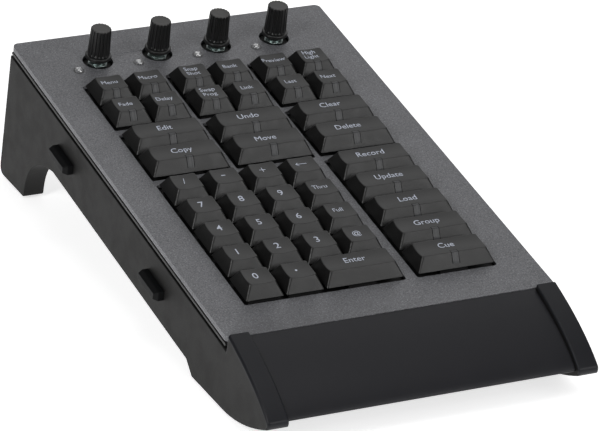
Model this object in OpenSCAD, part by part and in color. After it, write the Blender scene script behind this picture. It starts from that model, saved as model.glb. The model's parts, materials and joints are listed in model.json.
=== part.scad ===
// Lighting control desk: a keypad console with forty-two sprung keys and four rotary encoders.
// Lengths are in millimetres. The deck frame used below has its origin on the upper face of the
// top panel, at the middle of its front edge: X to the right, Y up the slope, Z off the panel.

/* [Case] */
// Rise of the top panel towards the rear, degrees
panel_tilt = 8.2; // [4:0.1:12]
// Thickness of the top panel's sheet
panel_t = 1.5; // [1:0.1:2.5]
// Depth of the folded edge below the panel's underside
flange_h = 1; // [0.5:0.1:1.6]
// Radius of the panel's corners in plan
panel_r = 3; // [1:0.1:6]
// Thickness of the base tray's sheet
tray_t = 1.2; // [0.8:0.1:2]
// Dark gap between the panel's folded edge and the tray's lip
lip_gap = 1.1; // [0.5:0.1:2]
// Gap between the tray's lip and the top of each cheek
cheek_gap = 1.4; // [0.6:0.1:3]
// Depth of the case from the panel's upper face to its underside
slab_h = 34; // [30:0.1:45]
// Depth of the front foot below the case, at the panel's front edge
foot_drop = 0.65; // [0.2:0.05:10]
// Height of the tray's underside above the cheeks' lower edge
tray_recess = 0.8; // [0:0.1:3]

/* [Cheeks] */
// Thickness of each cheek
cheek_t = 10; // [8:0.1:14]
// Length of the rear leg along the slope
leg_len = 29.5; // [20:0.5:40]
// Radius of the rear leg's heel
leg_r = 4; // [1:0.1:8]
// Length of the curve from the rear leg to the case's underside
arch_len = 28.5; // [10:0.5:40]
// Height of that curve
arch_h = 28; // [10:0.5:30]
// Distance from the panel's front edge to the back of the front foot
foot_back = 27.2; // [18:0.1:40]
// Length of the front foot that lies ahead of the panel's front edge
foot_ahead = 3.8; // [1:0.1:8]
// Length of the ramp behind the front foot
foot_ramp = 7; // [3:0.1:12]

/* [Nose] */
// Reach of the nose ahead of the panel's front edge
nose_len = 45.3; // [35:0.1:60]
// Radius of the nose's tip
tip_r = 2.5; // [1.5:0.1:5]
// Drop of the tip's centre below the panel
tip_drop = 14.6; // [10:0.1:20]
// Height of the cheeks' rims above the panel
rim_rise = 1.7; // [0.5:0.1:3]
// Height of the cheeks' rims above the nose panel
rim_proud = 2; // [0.8:0.1:3]
// Wall of the nose panel
nose_t = 2; // [1.2:0.1:3]
// Length of the ledges that tuck the nose panel under the deck and onto the tray
ledge_len = 6; // [3:0.1:9]

/* [Keys] */
// Distance between neighbouring keys
key_pitch = 19.05; // [17:0.05:21]
// Gap between the skirts of neighbouring keys
key_gap = 0.95; // [0.5:0.05:1.6]
// Extra gap between two blocks of keys, left to right
block_gap = 3.05; // [2.2:0.05:6]
// Extra gap between two blocks of keys, front to rear
row_gap = 4.4; // [2.4:0.1:8]
// Distance from the left cheek's inner face to the keys
keys_left = 8.3; // [7:0.05:20]
// Distance from the keys to the right cheek's inner face
keys_right = 9.05; // [7:0.05:20]
// Distance from the panel's front edge to the keys
keys_front = 21.2; // [15:0.1:30]
// Height of a resting key's skirt above the panel
key_rise = 1; // [0.4:0.1:2.5]
// Height of a keycap at its corners
cap_h = 6; // [5:0.1:9]
// Inset of a keycap's top at its left and right edges
cap_side = 3; // [2:0.1:3.5]
// Inset of a keycap's top at its front edge
cap_front = 4.1; // [3:0.1:4.6]
// Inset of a keycap's top at its rear edge
cap_rear = 3.1; // [2:0.1:4]
// Wall of a keycap
cap_wall = 1.2; // [0.8:0.05:1.5]
// Thickness of a keycap at its corners, dish included
cap_roof = 2.2; // [1.9:0.1:2.6]
// Radius of the dish in a one-unit keycap
dish_ball_r = 32; // [24:1:60]
// Radius of the trough in a two-unit keycap
dish_trough_r = 22; // [18:1:60]
// Travel of a key
key_travel = 3; // [2:0.1:3.5]
// Clearance round a block of keys in the panel
cut_gap = 0.9; // [0.5:0.1:1.1]
// Width of the light pipe in a lit key
pipe_w = 3.2; // [1:0.1:4]
// Depth of the light pipe's tab on the keycap's top
pipe_tab = 1; // [0.5:0.1:2]

/* [Switches and boards] */
// Gap between the panel and the switch plate
plate_gap = 1; // [0.6:0.1:3]
// Thickness of the switch plate
plate_t = 1.5; // [1:0.1:2]
// Side of a switch's body where it passes the plate
switch_w = 13.8; // [13:0.1:14.2]
// Height of a switch above the plate
switch_top_h = 3.2; // [2.4:0.1:3.4]
// Depth of a switch below the plate
switch_low_h = 5.5; // [5:0.1:8]
// Size of the slider, left to right
slider_w = 6.6; // [5:0.1:7]
// Size of the slider, front to rear
slider_d = 5.6; // [4.5:0.1:6]
// Side clearance of the slider in its switch
slider_gap = 0.3; // [0.2:0.05:0.5]
// Thickness of the circuit board
board_t = 1.6; // [1:0.1:2]
// Distance from the keys to the middle of the encoders
knobs_gap = 20.2; // [17:0.1:30]
// Distance from the encoders to the panel's rear edge
knobs_rear = 23.5; // [20:0.1:30]

/* [Knobs and lenses] */
// Radius of a knob at its base
knob_r = 5.2; // [4.6:0.1:8]
// Radius of a knob at its top
knob_top_r = 4.7; // [4:0.1:8]
// Radius of a knob's skirt
skirt_r = 6.1; // [5.4:0.1:9]
// Height of a knob's skirt
skirt_h = 1.6; // [1.2:0.1:5]
// Height of a knob
knob_h = 15.4; // [10:0.1:25]
// Height of a knob's underside above the panel
knob_rise = 2.2; // [2:0.1:5]
// Number of flutes round a knob
flutes = 18; // [12:1:24]
// Radius of an encoder's shaft
shaft_r = 3; // [2:0.1:3]
// Radius of an encoder's threaded bush
bush_r = 3.5; // [3.4:0.05:4]
// Radius of the hole in the panel round a knob
knob_hole_r = 7.1; // [6.5:0.1:9]
// Radius of an indicator lens
lens_r = 2.3; // [1.5:0.1:3]
// Offset of an indicator lens to the left of its knob
lens_left = 11.8; // [10:0.1:14]
// Offset of an indicator lens towards the front from its knob
lens_front = 5.8; // [0:0.1:8]

/* [Feet and lugs] */
// Height of the case above the floor
foot_gap = 1; // [0.5:0.1:3]
// Depth to which a foot pad is let into its cheek
foot_sink = 0.8; // [0.4:0.1:2]
// Width of a foot pad
foot_w = 7.5; // [5:0.1:7.8]
// Length of a foot pad
foot_len = 18; // [10:0.5:20]
// Length of a docking lug
lug_len = 18.4; // [12:0.1:30]
// Height of a docking lug
lug_w = 4.7; // [4:0.1:8]
// Reach of a docking lug from the cheek
lug_reach = 5; // [4:0.1:8]
// Reach of a docking lug before its bevel starts
lug_root = 2.8; // [1.5:0.1:3.5]
// Width of a docking lug's bevel, along the cheek
lug_bevel = 0.9; // [0.4:0.1:1.2]
// Distance from the panel's front edge to the first docking lug
lug_front = 70.7; // [50:0.1:90]
// Distance between the two docking lugs
lug_pitch = 103.3; // [60:0.1:120]
// Depth of the docking lugs below the panel
lug_drop = 19.4; // [16:0.1:22]

/* [Socket and screws] */
// Distance of the data socket from the middle of the rear
socket_left = 40; // [0:1:50]
// Width of the data socket's shell
socket_w = 12; // [10:0.1:14]
// Height of the data socket's shell
socket_h = 11; // [10:0.1:14]
// Length of the data socket
socket_len = 16; // [12:0.5:20]
// Width of the socket's mouth
mouth_w = 8.5; // [6:0.1:9]
// Height of the socket's mouth
mouth_h = 7.9; // [5:0.1:9]
// Depth of the socket's mouth
mouth_len = 9; // [6:0.1:11]
// Radius of a screw's thread
screw_r = 1.2; // [0.8:0.05:1.3]
// Radius of a screw's head
head_r = 2.3; // [2:0.1:2.6]
// Height of a screw's head
head_h = 2; // [1:0.1:2.4]

/* [Hidden] */
STRUCTURE = [
    "top_panel", "base_tray", "left_cheek", "right_cheek", "nose_panel", "switch_plate",
    "circuit_board", "switch_housings", "rotary_encoders", "led_lenses", "usb_socket",
    "docking_lugs", "rubber_feet", "case_screws"
];

// Clearances
fit = 0.1;              // between fixed pieces that stand side by side
snug = 0.03;            // between pieces pressed into one another
running = 0.05;         // between a shaft and its bush
slip = 0.2;             // round a screw or a bush in its hole
eps = 0.01;             // overlap of a cutting shape
press_gap = 0.5;        // left round and under a pressed key
far = 400;              // longer than any piece

// Levels in the deck frame
front_h = slab_h + foot_drop;
panel_under = -panel_t;
plate_top = min(panel_under - plate_gap, key_rise - key_travel - press_gap);
plate_under = plate_top - plate_t;
switch_top = min(plate_top + switch_top_h, key_rise + cap_h - cap_roof - key_travel - press_gap);
board_top = plate_under - switch_low_h;
board_under = board_top - board_t;
lip_top = panel_under - flange_h - lip_gap;
lip_under = lip_top - tray_t;
cheek_top = lip_under - cheek_gap;
tray_under = tray_recess - slab_h;
tray_floor = tray_under + tray_t;

// Keys: a key's skirt is one pitch, less the gap, for each unit of its width
function key_w(units) = units * key_pitch - key_gap;
keys_span = 4 * key_pitch + 2 * block_gap + key_w(2);
body_w = keys_span + keys_left + keys_right + 2 * cheek_t;
function column(c) = -body_w / 2 + cheek_t + keys_left + c * key_pitch;
function block(b) = column(2 * b) + b * block_gap;
function row(r) = keys_front + r * key_pitch + (r > 4 ? row_gap : 0) + (r > 6 ? row_gap : 0);

// Knobs stand over the quarters of the key field, and the panel ends behind them
knobs_y = row(8) + key_w(1) + knobs_gap;
panel_d = knobs_y + knobs_rear;
KNOBS = [for (i = [0:3]) [str("knob_", i + 1), column(0) + keys_span * (i + 0.5) / 4]];

// Widths and edges
edge_gap = 0.6;         // between the boards and the tray's sides
rear_inset = 1;         // of the tray's rear wall from the panel's rear edge
cheek_in = body_w / 2 - cheek_t;
tray_out = cheek_in - fit;
tray_in = tray_out - tray_t;
board_w = 2 * (tray_in - edge_gap);
tray_front = 0.2;
lip_front = 1;
tray_rear = panel_d - rear_inset;
board_front = ledge_len + 1;
board_rear = tray_rear - tray_t - fit;

// A switch is never wider than fits the inside of a pressed keycap
switch_side = min(switch_w, 0.765 * key_w(1));
flange_side = switch_side + 0.8;
crown_w = 0.8 * switch_side;
crown_d = 0.77 * switch_side;
pocket_floor = 0.9;     // left under the slider's pocket
slider_rest = 0.6;      // left between a pressed slider and the pocket's floor

// One line for each key: name, left edge, row, width in units, and whether it has a light pipe
KEYS = concat(
    [["key_0", column(0), 0, 1, false], ["key_point", column(1), 0, 1, false],
     ["key_enter", column(2), 0, 2, false]],
    [for (i = [0:8]) [str("key_", i + 1), column(i % 3), 1 + floor(i / 3), 1, false]],
    [["key_at", column(3), 1, 1, false], ["key_full", column(3), 2, 1, false],
     ["key_thru", column(3), 3, 1, false]],
    [["key_slash", column(0), 4, 1, false], ["key_minus", column(1), 4, 1, false],
     ["key_plus", column(2), 4, 1, false], ["key_back", column(3), 4, 1, false]],
    [["key_cue", block(2), 0, 2, true], ["key_group", block(2), 1, 2, true],
     ["key_load", block(2), 2, 2, true], ["key_update", block(2), 3, 2, true],
     ["key_record", block(2), 4, 2, true]],
    [["key_copy", block(0), 5, 2, true], ["key_move", block(1), 5, 2, true],
     ["key_delete", block(2), 5, 2, true], ["key_edit", block(0), 6, 2, true],
     ["key_undo", block(1), 6, 2, true], ["key_clear", block(2), 6, 2, true]],
    [["key_fade", block(0), 7, 1, true], ["key_delay", block(0) + key_pitch, 7, 1, true],
     ["key_swap_prog", block(1), 7, 1, true], ["key_link", block(1) + key_pitch, 7, 1, true],
     ["key_last", block(2), 7, 1, true], ["key_next", block(2) + key_pitch, 7, 1, true]],
    [["key_menu", block(0), 8, 1, true], ["key_macro", block(0) + key_pitch, 8, 1, true],
     ["key_snap_shot", block(1), 8, 1, true], ["key_bank", block(1) + key_pitch, 8, 1, true],
     ["key_preview", block(2), 8, 1, true], ["key_high_light", block(2) + key_pitch, 8, 1, true]]
);

// Blocks of keys that share one opening in the panel: left edge, first row, units wide, rows
BLOCKS = concat(
    [[column(0), 0, 4, 5], [block(2), 0, 2, 5]],
    [for (b = [0:2]) [block(b), 5, 2, 2]],
    [for (b = [0:2]) [block(b), 7, 2, 2]]
);

// Screws that clamp panel, board and tray, in pairs at the left and right
post_r = 2.5;
post_x = tray_in - edge_gap - post_r;
post_front = board_front + 4;
post_rear = tray_rear - 12;
POSTS = [for (y = [post_front, panel_d / 2, post_rear], x = [-post_x, post_x]) [x, y]];
post_bore_r = screw_r + running;
boss_r = 4;
boss_sink = 6;
thread_len = 4.5;

// Screws that hold each cheek to the tray
cheek_screw_z = -slab_h / 2 - 1;
CHEEK_SCREWS = [for (f = [0.14, 0.6, 0.88]) f * panel_d];
cheek_screw_len = 0.7 * cheek_t;

// Floor, in the deck frame
function floor_z(y) = -(front_h + y * tan(panel_tilt));

// Curves
function arc(c, r, a0, a1, n) =
    [for (i = [0:n]) let (a = a0 + (a1 - a0) * i / n) c + r * [cos(a), sin(a)]];
function bend(p, c, q, n) =
    [for (i = [0:n]) let (t = i / n) (1 - t) * (1 - t) * p + 2 * t * (1 - t) * c + t * t * q];
// Where a line through p at angle a meets a line through q at angle b
function meet(p, a, q, b) =
    let (d = q - p, s = (d[0] * sin(b) - d[1] * cos(b)) / sin(b - a)) p + s * [cos(a), sin(a)];
function round_rect(w, d, r) = concat(
    arc([w / 2 - r, d / 2 - r], r, 0, 90, 6), arc([r - w / 2, d / 2 - r], r, 90, 180, 6),
    arc([r - w / 2, r - d / 2], r, 180, 270, 6), arc([w / 2 - r, r - d / 2], r, 270, 360, 6)
);

// Nose: rim above, round tip, sweep down to the front foot
rim_slope = 9.4;
tip_upper = 31;
sweep_chord = atan((front_h - tip_drop - tip_r) / (nose_len - tip_r - foot_ahead));
tip_lower = max(34, sweep_chord + 6);
tip_c = [tip_r - nose_len, -tip_drop];
rim_start = [-0.2, rim_rise];
rim_end = tip_c + tip_r * [-sin(tip_upper), cos(tip_upper)];
foot_start = [-foot_ahead, floor_z(-foot_ahead)];
sweep_end = tip_c + tip_r * [-sin(tip_lower), -cos(tip_lower)];
rim_curve = bend(rim_start, meet(rim_start, rim_slope, rim_end, tip_upper), rim_end, 14);
tip_curve = arc(tip_c, tip_r, 90 + tip_upper, 270 - tip_lower, 8);
sweep_curve = bend(
    sweep_end, meet(sweep_end, -tip_lower, foot_start, 180 - panel_tilt), foot_start, 12
);
nose_curve = concat(rim_curve, tip_curve, sweep_curve);

// Cheek outline, from the rim round the nose and the feet to the rear edge
leg_front = panel_d - leg_len;
toe_r = 1.5;
arch_low = max(-slab_h - arch_h, floor_z(leg_front) + 2 * toe_r);
arch_sag = 6.5;
function heel_c(y, r) = [y, floor_z(y) + r / cos(panel_tilt)];
cheek_outline = concat(
    nose_curve,
    [[foot_back, floor_z(foot_back)], [foot_back + foot_ramp, -slab_h]],
    bend([leg_front - arch_len, -slab_h], [leg_front - 1, -slab_h - arch_sag],
         [leg_front, arch_low], 12),
    arc(heel_c(leg_front + toe_r, toe_r), toe_r, 180, 270 - panel_tilt, 4),
    arc(heel_c(panel_d - leg_r, leg_r), leg_r, 270 - panel_tilt, 360, 8),
    [[panel_d, cheek_top], [rim_start[0], cheek_top]]
);

// Place of the deck frame: the whole desk stands centred on the origin, lugs included
front_reach = tip_c[0] * cos(panel_tilt) - tip_c[1] * sin(panel_tilt) - tip_r;
heel = heel_c(panel_d - leg_r, leg_r);
rear_reach = heel[0] * cos(panel_tilt) - heel[1] * sin(panel_tilt) + leg_r;
deck_x = lug_reach / 2;
deck_y = -(front_reach + rear_reach) / 2;
deck_z = foot_gap + front_h * cos(panel_tilt);
foot_y = [(foot_back - foot_ahead) / 2, panel_d - leg_len / 2];
lug_y = [lug_front, lug_front + lug_pitch];

module deck() {
    translate([deck_x, deck_y, deck_z])
        rotate([panel_tilt, 0, 0])
            children();
}

// A box from its lowest to its highest corner
module span(low, high) {
    translate(low)
        cube(high - low);
}

// A block whose rectangular foot and rectangular top are given as [x0, x1, y0, y1]
module frustum(foot, top, h) {
    intersection() {
        translate([0, far / 2, 0])
            rotate([90, 0, 0])
                linear_extrude(far)
                    polygon([[foot[0], 0], [foot[1], 0], [top[1], h], [top[0], h]]);
        translate([-far / 2, 0, 0])
            rotate([90, 0, 90])
                linear_extrude(far)
                    polygon([[foot[2], 0], [foot[3], 0], [top[3], h], [top[2], h]]);
    }
}

function centred(w, d) = [-w / 2, w / 2, -d / 2, d / 2];

// A profile in the YZ plane of the deck, extruded from x0 to x1
module side_profile(x0, x1) {
    translate([x0, 0, 0])
        rotate([90, 0, 90])
            linear_extrude(x1 - x0)
                children();
}

module at_keys() {
    for (k = KEYS)
        translate([k[1] + key_w(k[3]) / 2, row(k[2]) + key_w(1) / 2, 0])
            children();
}

module at_knobs() {
    for (k = KNOBS)
        translate([k[1], knobs_y, 0])
            children();
}

module at_lenses() {
    for (k = KNOBS)
        translate([k[1] - lens_left, knobs_y - lens_front, 0])
            children();
}

module at_posts() {
    for (p = POSTS)
        translate([p[0], p[1], 0])
            children();
}

module drill(r, low, high) {
    translate([0, 0, low])
        cylinder(r = r, h = high - low, $fn = 48);
}

// ---- case ----

module panel_outline(inset) {
    translate([0, panel_d / 2])
        polygon(round_rect(body_w - 2 * inset, panel_d - 2 * inset, panel_r - inset / 2));
}

module block_opening(b) {
    w = key_w(b[2]) + 2 * cut_gap;
    d = (b[3] - 1) * key_pitch + key_w(1) + 2 * cut_gap;
    translate([b[0] - cut_gap + w / 2, row(b[1]) - cut_gap + d / 2, -panel_t - eps])
        linear_extrude(panel_t + 2 * eps)
            polygon(round_rect(w, d, 1));
}

module top_panel() {
    color("#6b6b70")
        deck()
            difference() {
                union() {
                    translate([0, 0, panel_under])
                        linear_extrude(panel_t)
                            panel_outline(0);
                    translate([0, 0, panel_under - flange_h])
                        difference() {
                            linear_extrude(flange_h + eps)
                                panel_outline(0);
                            translate([0, 0, -eps])
                                linear_extrude(flange_h + 3 * eps)
                                    panel_outline(panel_t);
                            span([-cheek_in, -eps, -eps], [cheek_in, 2 * panel_t, flange_h]);
                        }
                    at_posts()
                        drill(post_r, board_top + fit, panel_under + eps);
                }
                for (b = BLOCKS)
                    block_opening(b);
                at_knobs()
                    drill(knob_hole_r, -panel_t - eps, eps);
                at_lenses()
                    drill(lens_r - 0.2, -panel_t - eps, eps);
                at_posts()
                    drill(post_bore_r, board_top, board_top + thread_len + 1);
            }
}

module base_tray() {
    color("#2b2b2d")
        deck()
            difference() {
                union() {
                    span([-tray_out, tray_front, tray_under], [tray_out, tray_rear, tray_floor]);
                    for (s = [-1, 1]) {
                        span([s > 0 ? tray_in : -tray_out, tray_front, tray_under],
                             [s > 0 ? tray_out : -tray_in, tray_rear, lip_top]);
                        span([s > 0 ? tray_in : -body_w / 2 + fit, lip_front, lip_under],
                             [s > 0 ? body_w / 2 - fit : -tray_in, tray_rear, lip_top]);
                    }
                    span([-tray_out, tray_rear - tray_t, tray_under],
                         [tray_out, tray_rear, lip_top]);
                    at_posts()
                        drill(boss_r, tray_under, board_under - fit);
                }
                at_posts() {
                    drill(screw_r + slip, tray_under, board_under);
                    drill(head_r + slip, tray_under - eps, tray_under + boss_sink);
                }
                for (y = CHEEK_SCREWS)
                    translate([-far / 2, y, cheek_screw_z])
                        rotate([0, 90, 0])
                            cylinder(r = screw_r + slip, h = far, $fn = 48);
                span([-socket_left - socket_w / 2 - slip, tray_rear - 2 * tray_t,
                      board_under - socket_h - slip],
                     [-socket_left + socket_w / 2 + slip, tray_rear + eps, board_under + slip]);
            }
}

// Pocket for a foot pad, with a clearance all round
module foot_pad(y, gap) {
    translate([0, y, floor_z(y)])
        rotate([-panel_tilt, 0, 0])
            span([-foot_w / 2 - gap, -foot_len / 2 - gap, -foot_gap],
                 [foot_w / 2 + gap, foot_len / 2 + gap, foot_sink + gap]);
}

// Cheek whose outer face is at side * body_w / 2
module cheek(side) {
    outer = side * body_w / 2;
    inner = side * cheek_in;
    difference() {
        side_profile(min(outer, inner), max(outer, inner))
            polygon(cheek_outline);
        for (y = foot_y)
            translate([side * (body_w - cheek_t) / 2, 0, 0])
                foot_pad(y, running);
        for (y = CHEEK_SCREWS)
            translate([inner - side * eps, y, cheek_screw_z])
                rotate([0, side * 90, 0])
                    cylinder(r = screw_r + running, h = cheek_screw_len + eps, $fn = 48);
        children();
    }
}

// Shank of a docking lug, let into the left cheek
lug_sink = 2;
module lug_shank(gap) {
    span([-body_w / 2 - eps, -lug_len / 2 + 1 - gap, -lug_w / 2 + 1 - gap],
         [-body_w / 2 + lug_sink + gap, lug_len / 2 - 1 + gap, lug_w / 2 - 1 + gap]);
}

module left_cheek() {
    color("#3e3e3e")
        deck()
            cheek(-1)
                for (y = lug_y)
                    translate([0, y, -lug_drop])
                        lug_shank(running);
}

module right_cheek() {
    color("#3e3e3e")
        deck()
            cheek(1);
}

module nose_section() {
    polygon(concat([[far / 10, rim_rise + far / 10 * tan(rim_slope)]], nose_curve,
                   [[far / 10, floor_z(far / 10)]]));
}

module nose_panel() {
    half = cheek_in - 2 * fit;
    ledge = half - 4;
    deck_ledge_top = panel_under - fit;
    tray_ledge_low = tray_floor + fit;
    color("#2c2c31")
        deck() {
            side_profile(-half, half)
                intersection() {
                    difference() {
                        offset(delta = -rim_proud)
                            nose_section();
                        offset(delta = -rim_proud - nose_t)
                            nose_section();
                    }
                    translate([-far / 2 + rim_start[0], -far / 2])
                        square([far / 2, far]);
                }
            span([-ledge, -nose_t, deck_ledge_top - nose_t], [ledge, ledge_len, deck_ledge_top]);
            span([-ledge, -nose_t, tray_ledge_low], [ledge, ledge_len, tray_ledge_low + nose_t]);
        }
}

module docking_lugs() {
    color("#1d1f22")
        deck()
            for (y = lug_y)
                translate([0, y, -lug_drop]) {
                    translate([-body_w / 2, 0, 0])
                        rotate([0, -90, 0]) {
                            span([-lug_w / 2, -lug_len / 2, 0], [lug_w / 2, lug_len / 2, lug_root]);
                            translate([0, 0, lug_root])
                                frustum(centred(lug_w, lug_len),
                                        centred(lug_w - 2 * lug_bevel, lug_len - 2 * lug_bevel),
                                        lug_reach - lug_root);
                        }
                    lug_shank(0);
                }
}

module rubber_feet() {
    color("#161616")
        deck()
            for (side = [-1, 1], y = foot_y)
                translate([side * (body_w - cheek_t) / 2, 0, 0])
                    foot_pad(y, 0);
}

// ---- switches and boards ----

module switch_plate() {
    hole = switch_side + slip;
    color("#1c1c1e")
        deck()
            difference() {
                span([-board_w / 2, board_front, plate_under], [board_w / 2, board_rear, plate_top]);
                at_keys()
                    span([-hole / 2, -hole / 2, plate_under - eps],
                         [hole / 2, hole / 2, plate_top + eps]);
                at_knobs()
                    drill(bush_r + running, plate_under - eps, plate_top + eps);
                at_lenses()
                    drill(lens_r, plate_under - eps, plate_top + eps);
                at_posts()
                    drill(post_r + slip, plate_under - eps, plate_top + eps);
            }
}

module circuit_board() {
    color("#1d5b34")
        deck()
            difference() {
                span([-board_w / 2, board_front, board_under], [board_w / 2, board_rear, board_top]);
                at_posts()
                    drill(screw_r + slip, board_under - eps, board_top + eps);
            }
}

module switch_housings() {
    pocket_w = slider_w + 2 * slider_gap;
    pocket_d = slider_d + 2 * slider_gap;
    color("#232325")
        deck()
            at_keys()
                difference() {
                    union() {
                        translate([0, 0, plate_top])
                            frustum(centred(flange_side, flange_side), centred(crown_w, crown_d),
                                    switch_top - plate_top);
                        span([-switch_side / 2, -switch_side / 2, board_top],
                             [switch_side / 2, switch_side / 2, plate_top + eps]);
                    }
                    span([-pocket_w / 2, -pocket_d / 2, board_top + pocket_floor],
                         [pocket_w / 2, pocket_d / 2, switch_top + eps]);
                }
}

module rotary_encoders() {
    body = 12;
    nut_h = 2;
    nut_across = 8.6;
    bush_top = knob_rise - slip - press_gap;
    color("#9a9da0")
        deck()
            at_knobs() {
                difference() {
                    union() {
                        span([-body / 2, -body / 2, board_top], [body / 2, body / 2, plate_under]);
                        drill(bush_r, plate_under - eps, bush_top);
                    }
                    drill(shaft_r + running, plate_under, bush_top + eps);
                }
                translate([0, 0, plate_top])
                    difference() {
                        cylinder(r = nut_across / 2 / cos(30), h = nut_h, $fn = 6);
                        drill(bush_r + snug, -eps, nut_h + eps);
                    }
            }
}

module led_lenses() {
    flange_t = 0.3;
    dome_h = 1.1;
    stem_r = lens_r - 0.3;
    stem_low = board_top + 1.2;
    dome_r = (lens_r * lens_r + dome_h * dome_h) / (2 * dome_h);
    color("#d9dde0")
        deck()
            at_lenses() {
                drill(stem_r, stem_low, flange_t);
                drill(lens_r + 0.3, 0, flange_t);
                rotate_extrude($fn = 48)
                    intersection() {
                        translate([0, flange_t + dome_h - dome_r])
                            circle(r = dome_r, $fn = 96);
                        translate([0, flange_t - eps])
                            square([lens_r, dome_h + 2 * eps]);
                    }
            }
}

module usb_socket() {
    top = board_under - running;
    mouth_z = top - socket_h / 2;
    rear = tray_rear + rear_inset / 2;
    color("#b9bcc0")
        deck()
            translate([-socket_left, 0, 0])
                difference() {
                    span([-socket_w / 2, rear - socket_len, top - socket_h], [socket_w / 2, rear, top]);
                    span([-mouth_w / 2, rear - mouth_len, mouth_z - mouth_h / 2],
                         [mouth_w / 2, rear + eps, mouth_z + mouth_h / 2]);
                }
}

// A screw with its head's seat at the origin and its thread along +Z
module screw(len) {
    drill(screw_r, -eps, len);
    drill(head_r, -head_h, 0);
}

module case_screws() {
    seat = tray_under + boss_sink;
    color("#8d9094")
        deck() {
            at_posts()
                translate([0, 0, seat])
                    screw(board_top + thread_len - seat);
            for (side = [-1, 1], y = CHEEK_SCREWS)
                translate([side * tray_in, y, cheek_screw_z])
                    rotate([0, side * 90, 0])
                        screw(tray_t + cheek_screw_len - 1);
        }
}

// ---- keys and knobs ----

// Solid of a keycap before its dish, grown inwards by a wall
module cap_block(w, wall, h) {
    d = key_w(1);
    f = h / cap_h;
    frustum([wall, w - wall, wall, d - wall],
            [f * cap_side + wall, w - f * cap_side - wall, f * cap_front + wall,
             d - f * cap_rear - wall], h);
}

// The hollow cap: a one-unit cap has a round dish, a wider one has a trough from left to right
module cap_shell(units) {
    w = key_w(units);
    top_d = key_w(1) - cap_front - cap_rear;
    mid_y = cap_front + top_d / 2;
    half_w = w / 2 - cap_side;
    ball_z = cap_h + sqrt(pow(dish_ball_r, 2) - pow(half_w, 2) - pow(top_d / 2, 2));
    trough_z = cap_h + sqrt(pow(dish_trough_r, 2) - pow(top_d / 2, 2));
    difference() {
        cap_block(w, 0, cap_h);
        translate([0, 0, -eps])
            cap_block(w, cap_wall, cap_h - cap_roof + eps);
        if (units == 1)
            translate([w / 2, mid_y, ball_z])
                sphere(r = dish_ball_r, $fn = 128);
        else
            translate([-eps, mid_y, trough_z])
                rotate([0, 90, 0])
                    cylinder(r = dish_trough_r, h = w + 2 * eps, $fn = 128);
    }
}

// The part of a cap that a light pipe takes up, grown by a clearance
pipe_low = 0.8;
module pipe_space(w, gap) {
    span([w / 2 - pipe_w / 2 - gap, -eps, pipe_low - gap],
         [w / 2 + pipe_w / 2 + gap, cap_front + pipe_tab + gap, cap_h + eps]);
}

module key(k) {
    w = key_w(k[3]);
    mid = [w / 2, key_w(1) / 2];
    post_w = 4;
    post_d = 3;
    post_low = 0.2;
    roof = cap_h - cap_roof;
    slider_top = 2;
    slider_low = board_top + pocket_floor + slider_rest + key_travel - key_rise;
    color("#3a3a3c")
        deck()
            translate([k[1], row(k[2]), key_rise]) {
                difference() {
                    union() {
                        cap_shell(k[3]);
                        span([mid[0] - post_w / 2, mid[1] - post_d / 2, post_low],
                             [mid[0] + post_w / 2, mid[1] + post_d / 2, roof + eps]);
                    }
                    if (k[4])
                        pipe_space(w, snug);
                }
                if (k[4])
                    intersection() {
                        cap_shell(k[3]);
                        pipe_space(w, 0);
                    }
                difference() {
                    span([mid[0] - slider_w / 2, mid[1] - slider_d / 2, slider_low],
                         [mid[0] + slider_w / 2, mid[1] + slider_d / 2, slider_top]);
                    span([mid[0] - post_w / 2 - snug, mid[1] - post_d / 2 - snug, post_low - snug],
                         [mid[0] + post_w / 2 + snug, mid[1] + post_d / 2 + snug, slider_top + eps]);
                }
            }
}

module knob(k) {
    shaft_low = plate_under + 0.4;
    bore_top = knob_h - 4;
    edge = 0.4;
    neck = 0.3;
    flute_r = 0.55;
    body_low = skirt_h + neck;
    lean = atan((knob_r - knob_top_r) / (knob_h - body_low));
    color("#232325")
        deck()
            translate([k[1], knobs_y, knob_rise]) {
                difference() {
                    rotate_extrude($fn = 72)
                        polygon([
                            [0, 0], [skirt_r, 0], [skirt_r, skirt_h - edge],
                            [skirt_r - edge, skirt_h], [knob_r - neck, skirt_h],
                            [knob_r - neck, body_low], [knob_r, body_low],
                            [knob_top_r, knob_h - edge], [knob_top_r - edge, knob_h], [0, knob_h]
                        ]);
                    for (i = [0:flutes - 1])
                        rotate([0, 0, 360 * i / flutes])
                            translate([knob_r + flute_r / 3, 0, body_low + edge])
                                rotate([0, -lean, 0])
                                    cylinder(r = flute_r, h = knob_h, $fn = 24);
                    drill(shaft_r + snug, -eps, bore_top);
                }
                translate([0, 0, -knob_rise])
                    drill(shaft_r, shaft_low, knob_rise + bore_top - snug);
            }
}

top_panel();
base_tray();
left_cheek();
right_cheek();
nose_panel();
switch_plate();
circuit_board();
switch_housings();
rotary_encoders();
led_lenses();
usb_socket();
docking_lugs();
rubber_feet();
case_screws();
for (k = KEYS)
    key(k);
for (k = KNOBS)
    knob(k);
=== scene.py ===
import json
import math
import random

import bmesh
import bpy
import numpy as np
from mathutils import Matrix, Vector


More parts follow.
